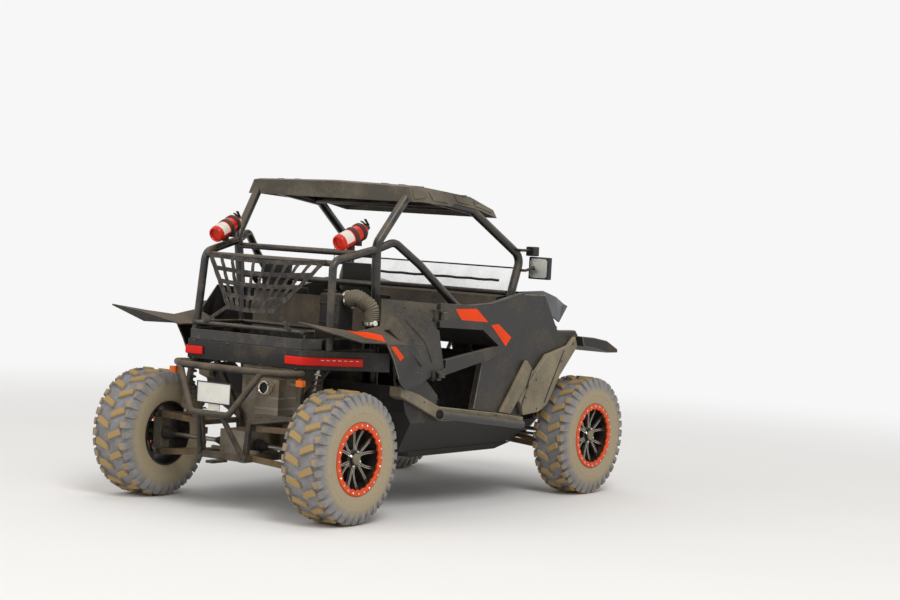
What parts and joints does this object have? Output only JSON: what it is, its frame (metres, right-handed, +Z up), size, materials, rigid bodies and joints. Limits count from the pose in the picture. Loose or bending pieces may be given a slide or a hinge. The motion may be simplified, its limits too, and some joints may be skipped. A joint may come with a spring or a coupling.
{
  "type": "dune buggy",
  "caption": "Two-seat side-by-side off-road buggy with tubular roll cage, lugged tyres on beadlock wheels, open half doors, cargo deck and long-travel suspension",
  "frame": {"origin": "on the ground, on the centreline, midway between the axles and between the ends", "axes": "+X forward along the longest extent, +Y to the vehicle's left across its width, +Z up"},
  "size_m": [3.042, 1.604, 1.792],
  "materials": {
    "tube_black": "satin black powder coat, dusty",
    "frame_black": "black powder coat under dust",
    "plastic_black": "grained black plastic",
    "panel_charcoal": "charcoal moulded plastic",
    "panel_sand": "plastic under a coat of sand dust",
    "panel_blue_black": "dark satin plastic with a cool sheen",
    "roof_grey": "matt dusty plastic",
    "lamp_clear": "clear lamp cover",
    "lamp_red": "red lamp lens",
    "lamp_amber": "amber lamp lens",
    "clear_sheet": "clear polycarbonate",
    "wheel_grip": "soft black grip",
    "seat_cloth": "black seat cloth",
    "webbing": "woven black webbing",
    "plate_white": "blank white plate",
    "heat_shield": "dull heat shield",
    "cast_metal": "cast metal",
    "duct_grey": "dusty duct plastic",
    "bottle_red": "gloss red enamel",
    "arm_bronze": "brown paint under dust",
    "shaft_steel": "turned steel",
    "spring_steel": "painted spring steel",
    "tyre_rubber": "dusty tread rubber",
    "rim_alloy": "black cast alloy with machined faces",
    "ring_orange": "orange powder coat"
  },
  "bodies": {
    "chassis": {"cage_left": "tube_black", "cage_right": "tube_black", "cage_cross_bars": "tube_black", "lower_frame": "frame_black", "deck_frame": "frame_black", "cradles": "frame_black", "skid_plate": "plastic_black", "floor_tub": "plastic_black", "quarter_panels": "panel_charcoal", "sills": "panel_sand", "front_side_panels": "panel_charcoal", "footwell_panels": "panel_sand", "step_bars": "tube_black", "hood": "panel_blue_black", "front_fascia": "panel_charcoal", "front_fenders": "plastic_black", "headlamps": "lamp_clear", "front_bumper": "tube_black", "dashboard": "plastic_black", "windscreen": "clear_sheet", "roof": "roof_grey", "seat_shells": "plastic_black", "seat_pads": "seat_cloth", "harnesses": "webbing", "cargo_bed": "plastic_black", "tail_panel": "panel_charcoal", "tail_lamps": "lamp_red", "rear_fenders": "panel_charcoal", "rear_bumper": "tube_black", "licence_plate": "plate_white", "turn_lamps": "lamp_amber", "muffler": "heat_shield", "engine": "cast_metal", "air_intake": "duct_grey", "rear_net": "webbing", "extinguishers": "bottle_red", "mirrors": "plastic_black", "front_arms": "arm_bronze", "rear_arms": "arm_bronze", "rear_uprights": "cast_metal", "half_shafts": "shaft_steel", "coilovers": "spring_steel"},
    "door_left": {"door_left": "panel_charcoal"},
    "door_right": {"door_right": "panel_charcoal"},
    "knuckle_left": {"knuckle_left": "cast_metal"},
    "knuckle_right": {"knuckle_right": "cast_metal"},
    "steering_rack": {"tie_rods": "shaft_steel"},
    "steering_wheel": {"steering_wheel": "wheel_grip"},
    "wheel_front_left": {"tyre_front_left": "tyre_rubber", "rim_front_left": "rim_alloy", "ring_front_left": "ring_orange"},
    "wheel_front_right": {"tyre_front_right": "tyre_rubber", "rim_front_right": "rim_alloy", "ring_front_right": "ring_orange"},
    "wheel_rear_left": {"tyre_rear_left": "tyre_rubber", "rim_rear_left": "rim_alloy", "ring_rear_left": "ring_orange"},
    "wheel_rear_right": {"tyre_rear_right": "tyre_rubber", "rim_rear_right": "rim_alloy", "ring_rear_right": "ring_orange"}
  },
  "joints": [
    {"name": "door_left_hinge", "type": "hinge", "parent": "chassis", "child": "door_left", "pos_m": [-0.402, 0.742, 0.75], "axis": [0, 0, 1], "range_deg": [0, 70]},
    {"name": "door_right_hinge", "type": "hinge", "parent": "chassis", "child": "door_right", "pos_m": [-0.402, -0.742, 0.75], "axis": [0, 0, -1], "range_deg": [0, 70]},
    {"name": "steer_left", "type": "hinge", "parent": "chassis", "child": "knuckle_left", "pos_m": [1.1425, 0.6, 0.35], "axis": [0, 0, 1], "range_deg": [-28, 28]},
    {"name": "steer_right", "type": "hinge", "parent": "chassis", "child": "knuckle_right", "pos_m": [1.1425, -0.6, 0.35], "axis": [0, 0, 1], "range_deg": [-28, 28]},
    {"name": "rack_travel", "type": "slide", "parent": "chassis", "child": "steering_rack", "axis": [0, -1, 0], "range_m": [-0.0518, 0.0518]},
    {"name": "steering_turn", "type": "hinge", "parent": "chassis", "child": "steering_wheel", "pos_m": [0.09, 0.29, 0.96], "axis": [-0.8192, 0, 0.5736], "range_deg": [-225, 225]},
    {"name": "roll_front_left", "type": "hinge", "parent": "knuckle_left", "child": "wheel_front_left", "pos_m": [1.1425, 0.686, 0.35], "axis": [0, 1, 0], "continuous": true},
    {"name": "roll_rear_left", "type": "hinge", "parent": "chassis", "child": "wheel_rear_left", "pos_m": [-1.1425, 0.666, 0.35], "axis": [0, 1, 0], "continuous": true},
    {"name": "roll_front_right", "type": "hinge", "parent": "knuckle_right", "child": "wheel_front_right", "pos_m": [1.1425, -0.686, 0.35], "axis": [0, 1, 0], "continuous": true},
    {"name": "roll_rear_right", "type": "hinge", "parent": "chassis", "child": "wheel_rear_right", "pos_m": [-1.1425, -0.666, 0.35], "axis": [0, 1, 0], "continuous": true}
  ],
  "couplings": [
    {"joint": "steer_right", "follows": "steer_left", "ratio": 1},
    {"joint": "rack_travel", "follows": "steer_left", "m_per_rad": 0.10567},
    {"joint": "steering_turn", "follows": "steer_left", "ratio": 8}
  ]
}
